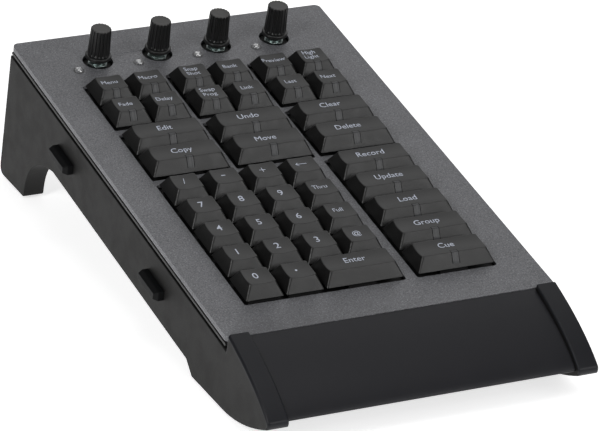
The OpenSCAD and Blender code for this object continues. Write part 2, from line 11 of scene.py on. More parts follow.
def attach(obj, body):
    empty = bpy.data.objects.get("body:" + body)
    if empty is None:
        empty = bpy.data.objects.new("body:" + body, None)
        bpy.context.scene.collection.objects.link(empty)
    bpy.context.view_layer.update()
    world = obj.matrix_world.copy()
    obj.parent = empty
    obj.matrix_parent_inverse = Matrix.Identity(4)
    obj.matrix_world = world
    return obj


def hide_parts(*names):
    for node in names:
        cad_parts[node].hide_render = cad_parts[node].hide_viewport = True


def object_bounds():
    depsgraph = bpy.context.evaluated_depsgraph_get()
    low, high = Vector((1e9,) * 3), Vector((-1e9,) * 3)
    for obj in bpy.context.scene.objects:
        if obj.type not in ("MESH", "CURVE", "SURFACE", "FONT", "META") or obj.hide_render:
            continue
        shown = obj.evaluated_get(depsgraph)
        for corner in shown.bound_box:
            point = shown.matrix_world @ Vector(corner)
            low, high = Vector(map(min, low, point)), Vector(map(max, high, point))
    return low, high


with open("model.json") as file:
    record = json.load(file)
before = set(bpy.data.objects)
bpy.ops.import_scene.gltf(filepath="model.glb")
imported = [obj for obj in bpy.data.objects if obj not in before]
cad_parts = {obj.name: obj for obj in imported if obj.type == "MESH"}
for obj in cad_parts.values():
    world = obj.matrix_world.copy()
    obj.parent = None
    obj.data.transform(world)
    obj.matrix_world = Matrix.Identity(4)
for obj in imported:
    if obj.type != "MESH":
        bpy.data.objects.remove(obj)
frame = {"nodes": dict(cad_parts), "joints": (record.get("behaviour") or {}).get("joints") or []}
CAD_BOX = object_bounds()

# Everything on the deck is drawn in millimetres, in the deck's own frame: the origin is on the
# upper face of the top panel, at the middle of its front edge, with X to the right, Y up the
# slope and Z off the panel. DECK carries that frame to the place where the desk stands.

NODES = frame["nodes"]
JOINTS = {joint["name"]: joint for joint in frame["joints"]}
LEAN = Vector(JOINTS["knob_1_turn"]["axis"])    # a knob turns on the deck's normal
TILT = math.atan2(-LEAN.y, LEAN.z)
LEVEL = Matrix.Rotation(-TILT, 4, "X")


def corners(points):
    """Lowest and highest corner of a list of points."""
    low = Vector([min(p[i] for p in points) for i in range(3)])
    high = Vector([max(p[i] for p in points) for i in range(3)])
    return low, high


panel_low, panel_high = corners([LEVEL @ v.co for v in NODES["top_panel"].data.vertices])
CORNER = Vector(((panel_low.x + panel_high.x) / 2, panel_low.y, panel_high.z))
DECK = LEVEL.inverted() @ Matrix.Translation(CORNER) @ Matrix.Scale(0.001, 4)
TO_DECK = DECK.inverted()


def deck_box(node):
    """Box of a CAD node on the deck, in millimetres."""
    return corners([TO_DECK @ v.co for v in NODES[node].data.vertices])


# ---------------------------------------------------------------- finishes

class Value:
    """A socket that can be used in sums."""

    def __init__(self, finish, socket):
        self.finish = finish
        self.socket = socket

    def sum(self, operation, *terms):
        return self.finish.add("ShaderNodeMath", {"operation": operation}, terms)

    def __add__(self, other):
        return self.sum("ADD", self, other)

    __radd__ = __add__

    def __sub__(self, other):
        return self.sum("SUBTRACT", self, other)

    def __rsub__(self, other):
        return self.sum("SUBTRACT", other, self)

    def __mul__(self, other):
        return self.sum("MULTIPLY", self, other)

    __rmul__ = __mul__

    def above(self, low, high):
        """0 below low, 1 above high, and a smooth rise between them."""
        return self.finish.add(
            "ShaderNodeMapRange", {"interpolation_type": "SMOOTHSTEP"},
            {"Value": self, "From Min": low, "From Max": high})


MIX_LOW, MIX_HIGH, MIX_RESULT = 6, 7, 2    # a Mix node's colour sockets and colour output


class Finish:
    """A material, with its shader and the nodes that feed it."""

    def __init__(self, name, **constants):
        self.material = bpy.data.materials.new(name)
        self.material.use_nodes = True
        self.tree = self.material.node_tree
        self.shader = self.tree.nodes["Principled BSDF"]
        for socket, value in constants.items():
            self.set(socket.replace("_", " "), value)
        self.place = self.add("ShaderNodeTexCoord", output="Object")

    def put(self, socket, value):
        """Links a Value to a socket, or sets the socket to a number or a colour."""
        if isinstance(value, Value):
            self.tree.links.new(value.socket, socket)
        else:
            socket.default_value = value

    def set(self, socket, value):
        self.put(self.shader.inputs[socket], value)

    def add(self, kind, settings=None, sockets=(), output=0):
        """Any other node: its settings first, then the values or links of its sockets."""
        node = self.tree.nodes.new(kind)
        for name, value in (settings or {}).items():
            setattr(node, name, value)
        pairs = sockets.items() if isinstance(sockets, dict) else enumerate(sockets)
        for key, value in pairs:
            self.put(node.inputs[key], value)
        return Value(self, node.outputs[output])

    def noise(self, size, detail=2.0, where=None):
        """Soft noise whose blots are about size metres across, from 0 to 1."""
        return self.add("ShaderNodeTexNoise", None, {
            "Vector": where or self.place, "Scale": 1 / size, "Detail": detail})

    def cells(self, size):
        """Distance from the middles of cells that are about size metres across."""
        return self.add("ShaderNodeTexVoronoi", None, {
            "Vector": self.place, "Scale": 1 / size}, "Distance")

    def mix(self, low, high, share):
        """A colour between two colours."""
        return self.add("ShaderNodeMix", {"data_type": "RGBA"}, {
            "Factor": share, MIX_LOW: low, MIX_HIGH: high}, MIX_RESULT)

    def bump(self, height, depth, under=None):
        """Relief depth metres high."""
        sockets = {"Height": height, "Distance": depth, "Strength": 1.0}
        if under:
            sockets["Normal"] = under
        return self.add("ShaderNodeBump", None, sockets)


def grey(level, tint=(1, 1, 1)):
    """A colour from a level between 0 and 255, as a screen shows it, and a tint."""
    return [((level * t / 255 + 0.055) / 1.055) ** 2.4 for t in tint] + [1]


BLUISH = (0.96, 0.99, 1.06)
WARM = (1.01, 1.0, 0.98)


def moulded(name, level, tint=(1, 1, 1), gloss=0.5, grain=0.00035, depth=0.00001,
            drift=0.12, **constants):
    """Moulded plastic: fine grain, slow drift of its tone, and handling marks in its gloss."""
    finish = Finish(name, **constants)
    slow = finish.noise(0.035, 3)
    fine = finish.noise(grain, 2)
    rubbed = finish.noise(0.009, 4).above(0.35, 0.75)
    finish.set("Base Color", finish.mix(
        grey(level * (1 - drift), tint), grey(level * (1 + drift), tint),
        slow * 0.55 + fine * 0.45))
    finish.set("Roughness", gloss + rubbed * 0.07 + (fine - 0.5) * 0.12)
    finish.set("Normal", finish.bump(fine, depth))
    return finish


def powder_coat(name, dark, light, tint=(1, 1, 1), metallic=0.25, gloss=0.42, flake=0.00042,
                depth=0.000012):
    """Fine textured powder coat: soft grains, and bright flakes among them."""
    finish = Finish(name, Metallic=metallic)
    grains = finish.noise(flake, 4).above(0.28, 0.72)
    flakes = 1 - finish.cells(flake * 1.7).above(0.1, 0.34)
    cloud = finish.noise(0.02, 4)
    peel = finish.noise(0.0011, 3)
    finish.set("Base Color", finish.mix(
        grey(dark, tint), grey(light, tint), grains * 0.45 + cloud * 0.2 + flakes * 0.35))
    finish.set("Roughness", gloss + grains * 0.12 - flakes * 0.12)
    finish.set("Normal", finish.bump(grains, depth, finish.bump(peel, depth)))
    return finish


def plated(name, level, tint=(1, 1, 1), gloss=0.28, lay=(1, 1, 1)):
    """Plated metal with faint drawn lines along one direction and a few dull spots."""
    finish = Finish(name, Metallic=1.0)
    turned = finish.add("ShaderNodeMapping", None, {"Vector": finish.place, "Scale": lay})
    lines = finish.noise(0.0006, 3, turned)
    spots = finish.noise(0.004, 4).above(0.45, 0.8)
    finish.set("Base Color", finish.mix(
        grey(level * 0.88, tint), grey(level, tint), 1 - spots * 0.6))
    finish.set("Roughness", gloss + lines * 0.12 + spots * 0.14)
    finish.set("Normal", finish.bump(lines, 0.000006))
    return finish


def cap_wall_finish():
    """Keycap walls: a coarse spark-eroded texture that scatters the light, coloured much darker
    than the tops as painted shade.
    """
    finish = Finish("keycap_wall", Specular_IOR_Level=0.5)
    pits = finish.noise(0.00045, 3)
    tiny = finish.noise(0.00022, 2)
    worn = finish.noise(0.006, 3).above(0.4, 0.8)
    rough = pits * 0.6 + tiny * 0.4
    # Painted shade: the walls are coloured far darker than the tops of the same plastic
    finish.set("Base Color", finish.mix(grey(3, WARM), grey(20, WARM), rough))
    finish.set("Roughness", 0.4 + (pits - 0.5) * 0.2 - worn * 0.05)
    finish.set("Normal", finish.bump(rough, 0.00006))
    return finish


def cap_top_finish():
    """Keycap tops: a fine satin whose tone and gloss drift slowly from place to place."""
    finish = Finish("keycap_top", Specular_IOR_Level=0.6)
    fine = finish.noise(0.00028, 2)
    slow = finish.noise(0.012, 3)
    finish.set("Base Color", finish.mix(grey(18), grey(30), slow * 0.5 + fine * 0.5))
    finish.set("Roughness", 0.47 + (slow - 0.5) * 0.1 + (fine - 0.5) * 0.08)
    finish.set("Normal", finish.bump(fine, 0.000016))
    return finish


def ink_finish():
    """Printed legends: a thin coat that has lost a little at its thin spots."""
    finish = Finish("legend_ink")
    thin = finish.noise(0.0004, 3).above(0.35, 0.6)
    finish.set("Base Color", finish.mix(grey(184, BLUISH), grey(204, BLUISH), thin))
    finish.set("Roughness", 0.5 + thin * 0.1)
    finish.set("Normal", finish.bump(thin, 0.000006))
    return finish


def pipe_finish():
    """Light pipes: smoked clear plastic, unlit, with flow lines."""
    finish = Finish("light_pipe", Coat_Weight=0.2, Coat_Roughness=0.2, Specular_IOR_Level=0.5)
    lines = finish.noise(0.0009, 3)
    fine = finish.noise(0.0003, 2)
    finish.set("Base Color", finish.mix(grey(30, BLUISH), grey(46, BLUISH), lines))
    finish.set("Roughness", 0.36 + fine * 0.12)
    finish.set("Normal", finish.bump(lines, 0.00001))
    return finish


def lens_finish():
    """Indicator lenses: drawn opaque for clear plastic over a bright reflector, faceted inside,
    with the facets' glints painted in as bright spots.
    """
    finish = Finish("indicator_lens", Coat_Weight=1.0, Coat_Roughness=0.04,
                    Specular_IOR_Level=0.7)
    facets = finish.cells(0.0008)
    ripple = finish.noise(0.0012, 2)
    # Painted glints: bright, slightly metallic spots in the colour over the facets
    painted_glint = facets.above(0.1, 0.75)
    finish.set("Base Color", finish.mix(grey(96, BLUISH), grey(190), painted_glint))
    finish.set("Metallic", 0.2 + painted_glint * 0.3)
    finish.set("Roughness", 0.12 + ripple * 0.12)
    finish.set("Normal", finish.bump(facets, 0.00008))
    return finish


def board_finish():
    """Circuit board: green mask over copper tracks, with a faint weave."""
    finish = Finish("board_mask", Coat_Weight=0.3, Coat_Roughness=0.25)
    tracks = finish.add("ShaderNodeTexBrick", {"offset": 0.5}, {
        "Vector": finish.place, "Scale": 260.0, "Mortar Size": 0.03,
        "Color1": (0, 0, 0, 1), "Color2": (0.25, 0.25, 0.25, 1), "Mortar": (1, 1, 1, 1)},
        "Fac")
    weave = finish.noise(0.0005, 2)
    finish.set("Base Color", finish.mix(
        (0.010, 0.075, 0.026, 1), (0.035, 0.17, 0.06, 1), tracks * 0.7 + weave * 0.3))
    finish.set("Roughness", 0.36 + weave * 0.12)
    finish.set("Normal", finish.bump(tracks + weave * 0.1, 0.00003))
    return finish


DECK_PAINT = powder_coat("deck_paint", 69, 151, (0.985, 0.99, 1.02), 0.3, 0.42, 0.0006, 0.00002)
TRAY_PAINT = powder_coat("tray_paint", 34, 50, flake=0.0005, metallic=0.05, gloss=0.5)
PLATE_PAINT = powder_coat("plate_paint", 10, 18, metallic=0.05, gloss=0.6)
CHEEK = moulded("cheek_plastic", 26, WARM, 0.58, 0.0005, 0.00003, 0.035,
                Specular_IOR_Level=0.2)
RIM = moulded("rim_satin", 24, (0.95, 0.98, 1.16), 0.4, 0.0004, 0.000012, 0.08,
              Specular_IOR_Level=0.25)
NOSE = moulded("nose_satin", 21, (0.95, 0.96, 1.2), 0.4, 0.00045, 0.000012, 0.08,
               Specular_IOR_Level=0.3)
LUG = moulded("lug_plastic", 18, BLUISH, 0.5, 0.0006, 0.000006, 0.08, IOR=1.22,
              Specular_IOR_Level=0.5)
FEET = moulded("foot_rubber", 22, WARM, 0.78, 0.0009, 0.00005, 0.15)
SWITCH = moulded("switch_plastic", 10, gloss=0.5, depth=0.000006, Specular_IOR_Level=0.15)
SLIDER = moulded("slider_plastic", 30, BLUISH, 0.4, depth=0.000005)
KNOB = moulded("knob_plastic", 23, gloss=0.36, grain=0.0004, depth=0.000008, drift=0.15,
               Specular_IOR_Level=0.55)
# Painted light: the knob's up-facing top is coloured a much lighter grey than its sides of the
# same plastic
KNOB_TOP_PAINTED_LIGHT = moulded("knob_top", 62, WARM, 0.52, 0.0005, 0.00002, 0.08)
BEZEL = moulded("bezel_plastic", 78, gloss=0.4)
CHIP = moulded("chip_resin", 24, gloss=0.55, grain=0.0002)
CAP_WALL = cap_wall_finish()
CAP_TOP = cap_top_finish()
INK = ink_finish()
PIPE = pipe_finish()
LENS = lens_finish()
BOARD = board_finish()
NICKEL = plated("encoder_metal", 180, (0.94, 1.0, 0.99), 0.26)
TIN = plated("socket_metal", 190, gloss=0.32, lay=(1, 1, 6))
STEEL = plated("screw_steel", 150, BLUISH, 0.3)
GOLD = plated("contact_gold", 205, (1.0, 0.83, 0.5), 0.25)
# Painted shade: a near-black strip laid just over the cap round each light pipe, standing for
# the shade in the seam
PAINTED_SEAM_SHADE = moulded("seam_shade", 8, gloss=0.7, drift=0.2, Specular_IOR_Level=0.1)


# ---------------------------------------------------------------- mesh work

SMOOTH = 32            # degrees: an edge that bends more stays sharp
WELD = 1e-7            # metres between points that become one
CAD_WELD = 0.0005      # the same in a copy of a CAD node, in millimetres
FLATNESS = 0.4         # degrees between triangles that are one flat face
FOLD_STEPS = 5         # faces across a bend


class Shells:
    """The shells of one piece, in millimetres on the deck, each with its finish."""

    def __init__(self):
        self.points = []
        self.faces = []
        self.marks = []
        self.finishes = []

    def mark(self, finish):
        """Number of a finish in this piece."""
        if finish not in self.finishes:
            self.finishes.append(finish)
        return self.finishes.index(finish)

    def add(self, points, faces, finish):
        """finish is one finish, or a list with one for each face."""
        start = len(self.points)
        self.points += [Vector(p) for p in points]
        self.faces += [[start + i for i in face] for face in faces]
        each = finish if isinstance(finish, list) else [finish] * len(faces)
        self.marks += [self.mark(f) for f in each]
        return self

    def piece(self, name, body, slot=None, replaces=(), angle=SMOOTH):
        """The finished object: normals outward, flat faces shaded flat, riding on its body."""
        mesh = bpy.data.meshes.new(name)
        mesh.from_pydata([DECK @ p for p in self.points], [], self.faces)
        for finish in self.finishes:
            mesh.materials.append(finish.material)
        mesh.polygons.foreach_set("material_index", self.marks)
        work = bmesh.new()
        work.from_mesh(mesh)
        bmesh.ops.remove_doubles(work, verts=work.verts, dist=WELD)
        bmesh.ops.recalc_face_normals(work, faces=work.faces)
        work.to_mesh(mesh)
        work.free()
        return settle(mesh, name, body, replaces, angle)


def settle(mesh, name, body, replaces=(), angle=SMOOTH):
    """Turns a mesh that is in place into a shaded piece that rides on a body."""
    mesh.polygons.foreach_set("use_smooth", [True] * len(mesh.polygons))
    mesh.set_sharp_from_angle(angle=math.radians(angle))
    piece = bpy.data.objects.new(name, mesh)
    bpy.context.scene.collection.objects.link(piece)
    even = piece.modifiers.new("even", "WEIGHTED_NORMAL")
    even.keep_sharp = True
    even.weight = 60
    bake(piece)
    piece.name = name
    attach(piece, body)
    if replaces:
        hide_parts(*replaces)
    return piece


def bake(piece):
    """Gives a piece the mesh that its modifiers make, and takes the modifiers off."""
    whole = bpy.context.evaluated_depsgraph_get()
    made = bpy.data.meshes.new_from_object(piece.evaluated_get(whole))
    made.name = piece.data.name
    piece.modifiers.clear()
    piece.data = made


def loft(rings, ends="point"):
    """Points and faces of a closed shell through rings of equal length.

    An end is closed by a fan of triangles round a point, or by one face.
    """
    n = len(rings[0])
    points = [Vector(p) for ring in rings for p in ring]
    faces = [
        (k * n + i, k * n + (i + 1) % n, (k + 1) * n + (i + 1) % n, (k + 1) * n + i)
        for k in range(len(rings) - 1) for i in range(n)
    ]
    for start in (0, (len(rings) - 1) * n):
        ring = list(range(start, start + n))
        if ends == "point":
            points.append(sum((points[i] for i in ring), Vector()) / n)
            faces += [(ring[i], ring[(i + 1) % n], len(points) - 1) for i in range(n)]
        else:
            faces.append(tuple(ring))
    return points, faces


def rounded(x0, x1, y0, y1, r, nx=2, ny=2, arc=4):
    """Points round a rectangle with corners of radius r, with nx and ny points on its sides."""
    made = []
    centres = [(x1 - r, y0 + r), (x1 - r, y1 - r), (x0 + r, y1 - r), (x0 + r, y0 + r)]
    bends = [[(cx + r * math.cos(math.radians(a + 90 * i / arc)),
               cy + r * math.sin(math.radians(a + 90 * i / arc))) for i in range(arc + 1)]
             for (cx, cy), a in zip(centres, (-90, 0, 90, 180))]
    for k, count in enumerate((ny, nx, ny, nx)):
        made += bends[k]
        p, q = bends[k][-1], bends[(k + 1) % 4][0]
        made += [(p[0] + (q[0] - p[0]) * i / (count + 1), p[1] + (q[1] - p[1]) * i / (count + 1))
                 for i in range(1, count + 1)]
    return np.array(made)


def lathe(profile, at, steps=48, groove=None):
    """A shell turned round the deck's normal at a point, from radii and heights.

    groove gives the depth of the grooves at a place on the profile and an angle.
    """
    rings = []
    for k, (radius, z) in enumerate(profile):
        ring = []
        for i in range(steps):
            a = 2 * math.pi * i / steps
            r = radius - groove(k, a) if groove else radius
            ring.append((at[0] + r * math.cos(a), at[1] + r * math.sin(a), at[2] + z))
        rings.append(ring)
    return loft(rings)


def block(low, high, r=0.4, edge=0.25):
    """A box with rounded upright corners and eased edges."""
    rings = []
    for z, inset in ((low[2], edge), (low[2] + edge, 0), (high[2] - edge, 0), (high[2], edge)):
        rings.append([(x, y, z) for x, y in rounded(
            low[0] + inset, high[0] - inset, low[1] + inset, high[1] - inset,
            max(r - inset / 2, 0.05))])
    return loft(rings)


def cad_copy(node):
    """A welded copy of a CAD node, on the deck in millimetres, its flat faces made whole."""
    work = bmesh.new()
    work.from_mesh(NODES[node].data)
    bmesh.ops.transform(work, matrix=TO_DECK, verts=work.verts)
    bmesh.ops.remove_doubles(work, verts=work.verts, dist=CAD_WELD)
    bmesh.ops.dissolve_limit(work, angle_limit=math.radians(FLATNESS), verts=work.verts,
                             edges=work.edges, delimit={"NORMAL"})
    return work


def softened(node, name, finish, radius=0.25, steps=2, angle=28, folds=None,
             gather=None):
    """A CAD node with its sharp edges eased, shown in place of the node.

    gather draws a small rounding along X back to its corner first: (the corner, the reach).
    folds picks edges that get a bend radius next: (a test of an edge, the radius).
    """
    work = cad_copy(node)
    if gather:
        corner, reach = gather
        for vert in work.verts:
            if math.hypot(vert.co.y - corner.y, vert.co.z - corner.z) < reach:
                vert.co.yz = corner.yz
        bmesh.ops.remove_doubles(work, verts=work.verts, dist=CAD_WELD)
    passes = [(lambda edge: True, radius, steps)]
    if folds:
        passes.insert(0, (*folds, FOLD_STEPS))
    for chosen, size, count in passes:
        sharp = [e for e in work.edges
                 if e.is_manifold and e.calc_face_angle(0) > math.radians(angle) and chosen(e)]
        bmesh.ops.bevel(work, geom=sharp, offset=size, offset_type="OFFSET", segments=count,
                        profile=0.5, affect="EDGES", clamp_overlap=True)
    bmesh.ops.triangulate(work, faces=[f for f in work.faces if len(f.verts) > 4])
    bmesh.ops.transform(work, matrix=DECK, verts=work.verts)
    mesh = bpy.data.meshes.new(name)
    work.to_mesh(mesh)
    work.free()
    mesh.materials.append(finish.material)
    return settle(mesh, name, "case", [node])


def keep_node(node, finish):
    """A CAD node that is shown as it is, with its finish."""
    mesh = NODES[node].data
    mesh.materials.clear()
    mesh.materials.append(finish.material)


# ---------------------------------------------------------------- repeated pieces

def repeated(name, shape, spots, finish, size=1.0):
    """Copies of one shape on a list of spots in the case, made by Geometry Nodes.

    shape is (points, faces) in millimetres, and a spot is (place, direction of its Z, turn).
    """
    proto_mesh = bpy.data.meshes.new(name + "_shape")
    proto_mesh.from_pydata([Vector(p) * 0.001 for p in shape[0]], [], shape[1])
    work = bmesh.new()
    work.from_mesh(proto_mesh)
    bmesh.ops.recalc_face_normals(work, faces=work.faces)
    work.to_mesh(proto_mesh)
    work.free()
    proto = bpy.data.objects.new(name + "_shape", proto_mesh)

    seats = bpy.data.meshes.new(name)
    seats.from_pydata([DECK @ Vector(at) for at, _, _ in spots], [], [])
    turns = seats.attributes.new("turn", "FLOAT_VECTOR", "POINT")
    spin = DECK.to_3x3().normalized()
    angles = []
    for _, way, turn in spots:
        facing = (spin @ Vector(way)).to_track_quat("Z", "Y").to_matrix()
        angles += (facing @ Matrix.Rotation(turn, 3, "Z")).to_euler()
    turns.data.foreach_set("vector", angles)

    tree = bpy.data.node_groups.new(name + "_tree", "GeometryNodeTree")
    tree.interface.new_socket("Seats", in_out="INPUT", socket_type="NodeSocketGeometry")
    scale = tree.interface.new_socket("Size", in_out="INPUT", socket_type="NodeSocketFloat")
    tree.interface.new_socket("Copies", in_out="OUTPUT", socket_type="NodeSocketGeometry")
    entry = tree.nodes.new("NodeGroupInput")
    turn = tree.nodes.new("GeometryNodeInputNamedAttribute")
    turn.data_type = "FLOAT_VECTOR"
    turn.inputs["Name"].default_value = "turn"
    source = tree.nodes.new("GeometryNodeObjectInfo")
    source.inputs["Object"].default_value = proto
    copies = tree.nodes.new("GeometryNodeInstanceOnPoints")
    real = tree.nodes.new("GeometryNodeRealizeInstances")
    coat = tree.nodes.new("GeometryNodeSetMaterial")
    coat.inputs["Material"].default_value = finish.material
    way_out = tree.nodes.new("NodeGroupOutput")
    join = tree.links.new
    join(entry.outputs["Seats"], copies.inputs["Points"])
    join(source.outputs["Geometry"], copies.inputs["Instance"])
    join(turn.outputs["Attribute"], copies.inputs["Rotation"])
    join(entry.outputs["Size"], copies.inputs["Scale"])
    join(copies.outputs["Instances"], real.inputs["Geometry"])
    join(real.outputs["Geometry"], coat.inputs["Geometry"])
    join(coat.outputs["Geometry"], way_out.inputs["Copies"])

    holder = bpy.data.objects.new(name, seats)
    bpy.context.scene.collection.objects.link(holder)
    maker = holder.modifiers.new("copies", "NODES")
    maker.node_group = tree
    maker[scale.identifier] = size
    bake(holder)
    mesh = holder.data
    if "turn" in mesh.attributes:
        mesh.attributes.remove(mesh.attributes["turn"])
    bpy.data.objects.remove(holder)
    bpy.data.objects.remove(proto)
    return settle(mesh, name, "case")


# ---------------------------------------------------------------- keys

CAP_H = 6.0            # height of a keycap at its corners
CAP_SIDE = 3.0         # insets of its top at the sides, the front and the rear
CAP_FRONT = 4.1
CAP_REAR = 3.1
CAP_THICK = 1.2        # its walls
CAP_ROOF = 2.2         # thickness over its hollow, from the corners of its top
FOOT_R = 0.75          # corner radii of its skirt, its top and its hollow
CREST_R = 1.1
HOLLOW_R = 0.35
DISH_R = 32.0          # radius of the round dish in a one-unit cap
TROUGH_R = 22.0        # radius of the trough in a two-unit cap
EDGE = 0.42            # easing between the walls and the top
PIPE_HALF = 1.6        # half width of a light pipe
PIPE_LOW = 0.85        # height of its lower end above the skirt
PIPE_TAB = 1.6         # reach of its tab on the top
PIPE_DEEP = 0.55       # depth of a pipe and its seam in the wall
SEAM_SIDE = 0.26       # how far the seam's painted shade shows round a pipe, at its sides and both ends
SEAM_LOW = 0.2
SEAM_TAB = 0.28
SETTLE_TURNS = 5       # turns of the sum that finds where the wall meets the dish

# Sections of a light pipe, with its two ribs, and of the dark strip of painted shade in the seam
# round it: place across, rise
PIPE_SECTION = [(-1.0, -0.12), (-0.95, 0.045), (-0.66, 0.045), (-0.58, 0.09), (-0.42, 0.09),
                (-0.34, 0.035), (0.34, 0.035), (0.42, 0.09), (0.58, 0.09), (0.66, 0.045),
                (0.95, 0.045), (1.0, -0.12)]
SEAM_SECTION = [(-1.0, -0.12), (-0.98, 0.012), (0, 0.012), (0.98, 0.012), (1.0, -0.12)]

# What is printed on each key, apart from the signs in STROKES and the point
LEGENDS = {
    "key_enter": "Enter", "key_at": "@", "key_full": "Full", "key_thru": "Thru",
    "key_cue": "Cue", "key_group": "Group", "key_load": "Load", "key_update": "Update",
    "key_record": "Record", "key_copy": "Copy", "key_move": "Move", "key_delete": "Delete",
    "key_edit": "Edit", "key_undo": "Undo", "key_clear": "Clear", "key_fade": "Fade",
    "key_delay": "Delay", "key_swap_prog": "Swap\nProg", "key_link": "Link",
    "key_last": "Last", "key_next": "Next", "key_menu": "Menu", "key_macro": "Macro",
    "key_snap_shot": "Snap\nShot", "key_bank": "Bank", "key_preview": "Preview",
    "key_high_light": "High\nLight",
}
LEGENDS.update({f"key_{n}": str(n) for n in range(10)})
KEYS = sorted(n for n in NODES if n.startswith("key_"))
UNLIT = {f"key_{n}" for n in range(10)} | {
    "key_point", "key_enter", "key_at", "key_full", "key_thru", "key_slash", "key_minus",
    "key_plus", "key_back"}


class Cap:
    """Shape of one keycap, in its own frame: X and Y from the front left corner of its skirt."""

    def __init__(self, width, depth):
        self.w = width
        self.d = depth
        self.wide = width > 1.5 * depth
        self.top_d = depth - CAP_FRONT - CAP_REAR
        self.mid = (width / 2, CAP_FRONT + self.top_d / 2)
        half_w = width / 2 - CAP_SIDE
        if self.wide:
            self.r = TROUGH_R
            self.centre = CAP_H + math.sqrt(TROUGH_R ** 2 - (self.top_d / 2) ** 2)
        else:
            self.r = DISH_R
            self.centre = CAP_H + math.sqrt(DISH_R ** 2 - half_w ** 2 - (self.top_d / 2) ** 2)
        self.nx = 12 if self.wide else 6

    def top(self, x, y):
        """Height of the dish."""
        across = 0 if self.wide else (x - self.mid[0]) ** 2
        return self.centre - np.sqrt(self.r ** 2 - across - (y - self.mid[1]) ** 2)

    def ring(self, share, wall=0.0, r=1.0):
        """Outline at a share of the cap's height, drawn in by a wall."""
        return rounded(share * CAP_SIDE + wall, self.w - share * CAP_SIDE - wall,
                       share * CAP_FRONT + wall, self.d - share * CAP_REAR - wall,
                       r, self.nx, 6)

    def shell(self):
        """Points, faces and finishes: the dish, the eased edge, the walls and the hollow."""
        foot, crest = self.ring(0, r=FOOT_R), self.ring(1, r=CREST_R)

        def wall_at(z):
            return foot + (crest - foot) * (z / CAP_H)[:, None]

        z = np.full(len(foot), CAP_H)
        for _ in range(SETTLE_TURNS):
            edge = wall_at(z)
            z = self.top(edge[:, 0], edge[:, 1])
        inward = self.ring(1, EDGE, CREST_R - EDGE / 2) - crest
        inner = edge + inward
        inner_z = self.top(inner[:, 0], inner[:, 1])
        low_z = z - EDGE
        low = wall_at(low_z)

        rings, marks = [], []

        def push(xy, heights, finish):
            rings.append(np.column_stack([xy, heights]))
            marks.append(finish)

        middle = np.array(self.mid)
        for share in (0.06, 0.25, 0.45, 0.65, 0.85, 0.96):
            xy = middle + (inner - middle) * share
            push(xy, self.top(xy[:, 0], xy[:, 1]), CAP_TOP)
        push(inner, inner_z, CAP_TOP)
        for t in (0.25, 0.5, 0.75):
            a, b, c = (1 - t) ** 2, 2 * t * (1 - t), t * t
            push(a * inner + b * edge + c * low, a * inner_z + b * z + c * low_z, CAP_TOP)
        push(low, low_z, CAP_WALL)
        for share in (0.66, 0.33):
            push(wall_at(low_z * share), low_z * share, CAP_WALL)
        ones = np.ones(len(foot))
        push(wall_at(0.18 * ones), 0.18 * ones, CAP_WALL)
        push(self.ring(0, 0.14, 0.6), 0 * ones, CAP_WALL)
        push(self.ring(0, CAP_THICK - 0.1, 0.4), 0 * ones, CAP_WALL)
        push(self.ring(0, CAP_THICK, HOLLOW_R), 0.1 * ones, CAP_WALL)
        roof = CAP_H - CAP_ROOF
        push(self.ring(roof / CAP_H, CAP_THICK, HOLLOW_R), roof * ones, CAP_WALL)
        points, faces = loft(rings)
        n = len(foot)
        finishes = [marks[k + 1] if k + 1 < len(marks) else marks[-1]
                    for k in range(len(rings) - 1) for _ in range(n)]
        finishes += [CAP_TOP] * n + [CAP_WALL] * n
        return points, faces, finishes

    def front_profile(self, x, foot, tab):
        """Points and normals up the front wall and onto the top, at one place along X."""
        z = CAP_H
        for _ in range(SETTLE_TURNS):
            y = CAP_FRONT * z / CAP_H
            z = float(self.top(x, y))
        slope = Vector((0, CAP_FRONT, CAP_H)).normalized()
        out = Vector((0, -slope.z, slope.y))
        up = Vector((0, 0, 1))
        low = Vector((x, y, z)) - slope * EDGE
        inner = Vector((x, y + EDGE, float(self.top(x, y + EDGE))))
        made = [(Vector((x, CAP_FRONT * h / CAP_H, h)), out)
                for h in np.linspace(foot, low.z - 0.1, 5)]
        for t in (0, 0.25, 0.5, 0.75, 1):
            at = low * (1 - t) ** 2 + Vector((x, y, z)) * 2 * t * (1 - t) + inner * t * t
            made.append((at, out.lerp(up, t).normalized()))
        for reach in (0.6, tab - 0.12, tab):
            made.append((Vector((x, y + reach, float(self.top(x, y + reach)))), up))
        return made

    def strip(self, across, half, foot, tab):
        """A strip up the front wall and onto the top; across gives its section."""
        columns = [self.front_profile(self.mid[0] + u * half, foot, tab) for u, _ in across]
        rows = len(columns[0])
        skin, under = [], []
        for (u, rise), column in zip(across, columns):
            for k, (at, out) in enumerate(column):
                end = k in (0, rows - 1)
                lift = -0.12 if end else (min(rise, 0.045) if k >= rows - 3 else rise)
                skin.append(at + out * lift)
                under.append(at - out * PIPE_DEEP)
        count = len(skin)
        faces = []
        for i in range(len(across) - 1):
            for k in range(rows - 1):
                a = i * rows + k
                faces.append((a, a + 1, a + rows + 1, a + rows))
                faces.append((count + a, count + a + rows, count + a + rows + 1, count + a + 1))
        rim = ([i * rows for i in range(len(across))]
               + [(len(across) - 1) * rows + k for k in range(1, rows)]
               + [i * rows + rows - 1 for i in range(len(across) - 2, -1, -1)]
               + [k for k in range(rows - 2, 0, -1)])
        faces += [(rim[i], rim[(i + 1) % len(rim)], count + rim[(i + 1) % len(rim)],
                   count + rim[i]) for i in range(len(rim))]
        return skin + under, faces


